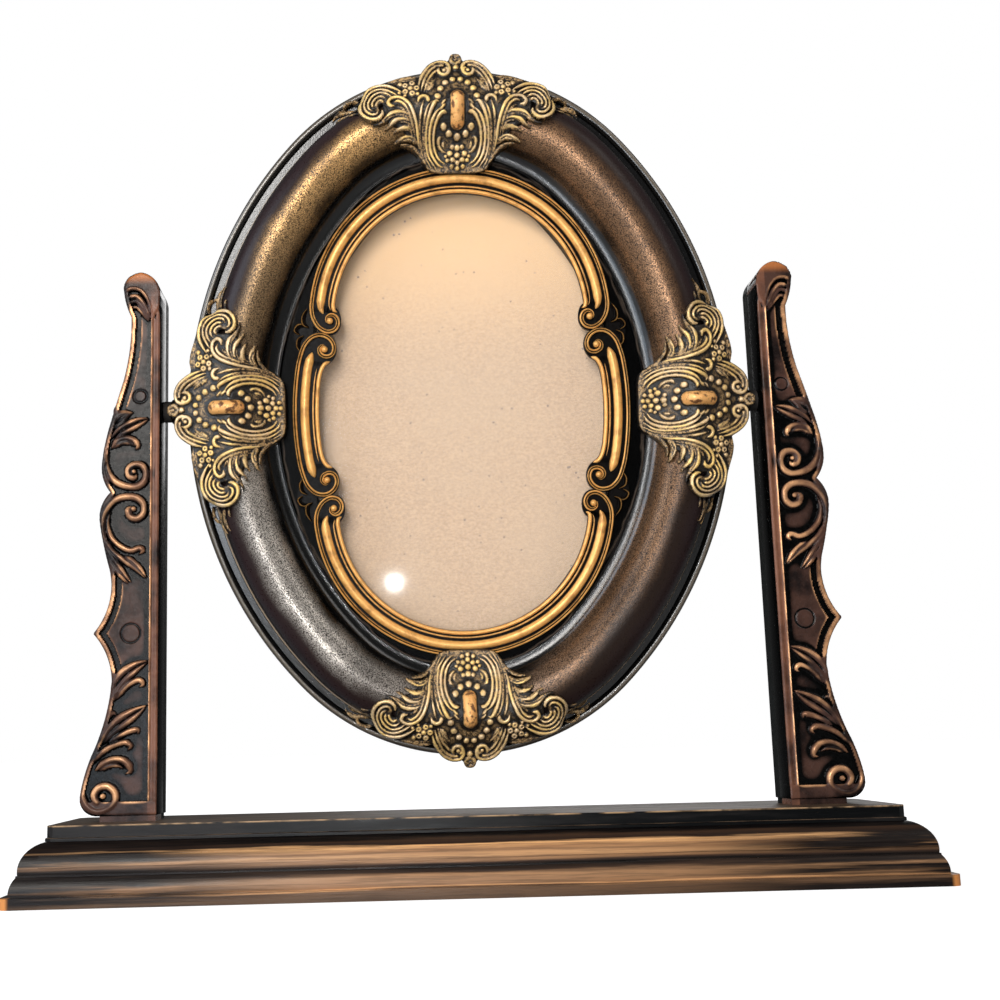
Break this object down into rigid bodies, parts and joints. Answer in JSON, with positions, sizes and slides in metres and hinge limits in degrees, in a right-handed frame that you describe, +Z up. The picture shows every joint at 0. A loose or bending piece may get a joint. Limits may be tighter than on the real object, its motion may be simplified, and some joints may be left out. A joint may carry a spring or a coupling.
{
  "type": "swivel table mirror",
  "caption": "Free-standing dressing-table stand: an oval moulded frame with a glazed, board-backed sight opening swings between carved posts on a stepped plinth.",
  "frame": {"origin": "centre of the plinth's footprint, on the table", "axes": "+Z up, +X to the right seen from the front, the sight opening faces -Y"},
  "size_m": [0.34, 0.083, 0.324],
  "materials": {
    "base_brown": "worn copper brown, satin",
    "plate_black": "black, satin, scuffed",
    "cover_card": "plain board",
    "post_brown": "worn copper brown with light edges",
    "post_back": "charcoal",
    "frame_bronze": "black brown with bronze speckle",
    "liner_gold": "gold beads over black grooves",
    "ornament_gold": "antique gold over dark recesses",
    "pane_glass": "clear",
    "chip_board": "bare tan board",
    "bright_steel": "zinc plated",
    "dark_steel": "blackened",
    "washer_fibre": "dark fibre"
  },
  "bodies": {
    "stand": {"base_moulding": "base_brown", "base_top_plate": "plate_black", "base_cover": "cover_card", "base_cover_screws": "bright_steel", "post_left": "post_brown", "post_right": "post_brown", "post_left_back": "post_back", "post_right_back": "post_back", "post_screws": "bright_steel"},
    "swing_frame": {"oval_frame": "frame_bronze", "scroll_liner": "liner_gold", "ornament_top": "ornament_gold", "ornament_bottom": "ornament_gold", "ornament_left": "ornament_gold", "ornament_right": "ornament_gold", "glass_pane": "pane_glass", "backing_board": "chip_board", "turn_button_screws": "bright_steel", "pivot_screw_left": "dark_steel", "pivot_screw_right": "dark_steel", "friction_washer_left": "washer_fibre", "friction_washer_right": "washer_fibre"},
    "turn_button_upper_right": {"turn_button_upper_right": "bright_steel"},
    "turn_button_lower_right": {"turn_button_lower_right": "bright_steel"},
    "turn_button_upper_left": {"turn_button_upper_left": "bright_steel"},
    "turn_button_lower_left": {"turn_button_lower_left": "bright_steel"}
  },
  "joints": [
    {"name": "frame_tilt", "type": "hinge", "parent": "stand", "child": "swing_frame", "pos_m": [0, 0, 0.1877], "axis": [1, 0, 0], "continuous": true},
    {"name": "turn_button_upper_right_turn", "type": "hinge", "parent": "swing_frame", "child": "turn_button_upper_right", "pos_m": [0.05335, 0.00156, 0.24564], "axis": [0, 0.9866, 0.1633], "continuous": true},
    {"name": "turn_button_lower_right_turn", "type": "hinge", "parent": "swing_frame", "child": "turn_button_lower_right", "pos_m": [0.05335, 0.021, 0.12822], "axis": [0, 0.9866, 0.1633], "continuous": true},
    {"name": "turn_button_upper_left_turn", "type": "hinge", "parent": "swing_frame", "child": "turn_button_upper_left", "pos_m": [-0.05335, 0.00156, 0.24564], "axis": [0, 0.9866, 0.1633], "continuous": true},
    {"name": "turn_button_lower_left_turn", "type": "hinge", "parent": "swing_frame", "child": "turn_button_lower_left", "pos_m": [-0.05335, 0.021, 0.12822], "axis": [0, 0.9866, 0.1633], "continuous": true}
  ]
}
